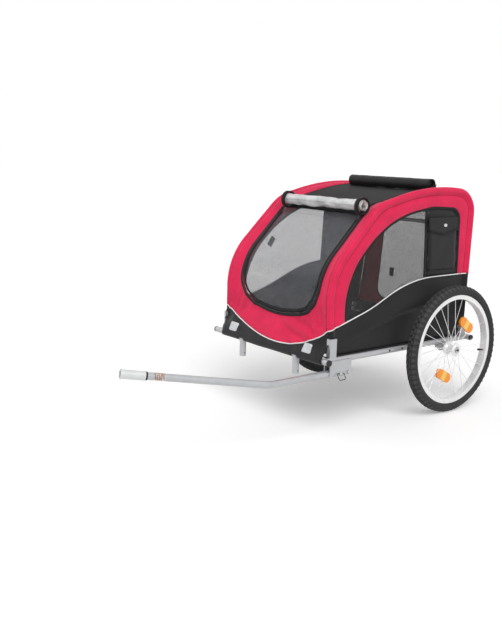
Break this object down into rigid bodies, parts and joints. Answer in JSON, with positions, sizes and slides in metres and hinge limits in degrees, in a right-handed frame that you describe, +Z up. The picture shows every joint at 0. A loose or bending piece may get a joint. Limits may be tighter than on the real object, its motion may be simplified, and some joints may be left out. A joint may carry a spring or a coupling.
{
  "type": "dog bike trailer",
  "caption": "Two-wheeled dog trailer with a bent tow bar, sprung hitch, spoked wheels, hooped cloth cabin with mesh windows and front door, and rolled-up covers",
  "frame": {"origin": "bottom centre of the whole trailer, on the ground under the wheels", "axes": "+X to the trailer's left, -Y to its front where the tow bar points, +Z up"},
  "size_m": [0.7566, 1.5931, 0.8893],
  "materials": {
    "frame_paint": "satin",
    "steel": "brushed",
    "rim_alloy": "satin",
    "tyre_rubber": "matte",
    "black_rubber": "matte",
    "red_cloth": "woven",
    "black_cloth": "woven",
    "black_mesh": "fine mesh",
    "white_cord": "woven",
    "clear_film": "clear film",
    "black_plastic": "matte",
    "orange_lens": "prismatic",
    "silver_tape": "reflective",
    "spring_brass": "plated"
  },
  "bodies": {
    "chassis": {"axle_gussets": "frame_paint", "axle_receivers": "frame_paint", "bracket_bolts": "steel", "corner_brackets": "frame_paint", "floor_board": "black_plastic", "front_cross_tube": "frame_paint", "front_lower_panel": "black_cloth", "front_posts": "frame_paint", "front_red_panel": "red_cloth", "front_roll": "clear_film", "front_roll_straps": "black_cloth", "hitch_plug": "steel", "hitch_spring": "spring_brass", "left_hoop": "frame_paint", "left_side_rail": "frame_paint", "piping": "white_cord", "rear_cross_tube": "frame_paint", "rear_lower_panel": "black_cloth", "rear_mesh": "black_mesh", "rear_red_panel": "red_cloth", "reflective_patches": "silver_tape", "right_hoop": "frame_paint", "right_side_rail": "frame_paint", "roof_bars": "frame_paint", "roof_panel": "black_cloth", "roof_roll": "black_cloth", "side_lower_panels": "black_cloth", "side_meshes": "black_mesh", "side_pocket": "black_cloth", "side_red_panels": "red_cloth", "side_window_bindings": "black_cloth", "tow_bar": "frame_paint", "tow_bolt": "steel", "tow_bracket": "frame_paint", "tube_end_caps": "black_plastic", "wheel_axles": "steel"},
    "left_wheel": {"left_tyre": "tyre_rubber", "left_rim": "rim_alloy", "left_spokes": "steel", "left_hub": "rim_alloy", "left_bearings": "steel", "left_reflectors": "orange_lens", "left_valve": "black_rubber"},
    "left_button": {"left_release_button": "black_plastic"},
    "right_wheel": {"right_tyre": "tyre_rubber", "right_rim": "rim_alloy", "right_spokes": "steel", "right_hub": "rim_alloy", "right_bearings": "steel", "right_reflectors": "orange_lens", "right_valve": "black_rubber"},
    "right_button": {"right_release_button": "black_plastic"},
    "lock_pin": {"lock_pin": "steel", "lock_pin_ring": "steel"},
    "hitch_swivel": {"hitch_cross": "steel"},
    "coupler": {"hitch_fork": "frame_paint", "hitch_rubber_ring": "black_rubber", "coupler_tube": "frame_paint"},
    "front_door": {"front_mesh_door": "black_mesh"},
    "pocket_flap": {"pocket_flap": "black_cloth"}
  },
  "joints": [
    {"name": "left_wheel_spin", "type": "hinge", "parent": "chassis", "child": "left_wheel", "pos_m": [0.347, 0.54908, 0.2475], "axis": [1, 0, 0], "continuous": true},
    {"name": "left_button_press", "type": "slide", "parent": "chassis", "child": "left_button", "axis": [-1, 0, 0], "range_m": [0, 0.0025], "stiffness_N_per_m": 600},
    {"name": "right_wheel_spin", "type": "hinge", "parent": "chassis", "child": "right_wheel", "pos_m": [-0.347, 0.54908, 0.2475], "axis": [1, 0, 0], "continuous": true},
    {"name": "right_button_press", "type": "slide", "parent": "chassis", "child": "right_button", "axis": [1, 0, 0], "range_m": [0, 0.0025], "stiffness_N_per_m": 600},
    {"name": "lock_pin_pull", "type": "slide", "parent": "chassis", "child": "lock_pin", "axis": [1, 0, 0], "range_m": [0, 0.045]},
    {"name": "hitch_yaw", "type": "hinge", "parent": "chassis", "child": "hitch_swivel", "pos_m": [0.18685, -0.67495, 0.28106], "axis": [0.0442, 0.139, 0.9893], "range_deg": [-40, 40], "stiffness_Nm_per_rad": 40, "deforming": ["hitch_spring"]},
    {"name": "hitch_pitch", "type": "hinge", "parent": "hitch_swivel", "child": "coupler", "pos_m": [0.18685, -0.67495, 0.28106], "axis": [0.953, -0.3029, 0], "range_deg": [-20, 20], "stiffness_Nm_per_rad": 40, "deforming": ["hitch_spring"]},
    {"name": "front_door_swing", "type": "hinge", "parent": "chassis", "child": "front_door", "pos_m": [0, 0.14115, 0.7456], "axis": [-1, 0, 0], "range_deg": [0, 70]},
    {"name": "pocket_flap_lift", "type": "hinge", "parent": "chassis", "child": "pocket_flap", "pos_m": [0.28404, 0.52708, 0.748], "axis": [0, -1, 0], "range_deg": [0, 150]}
  ]
}
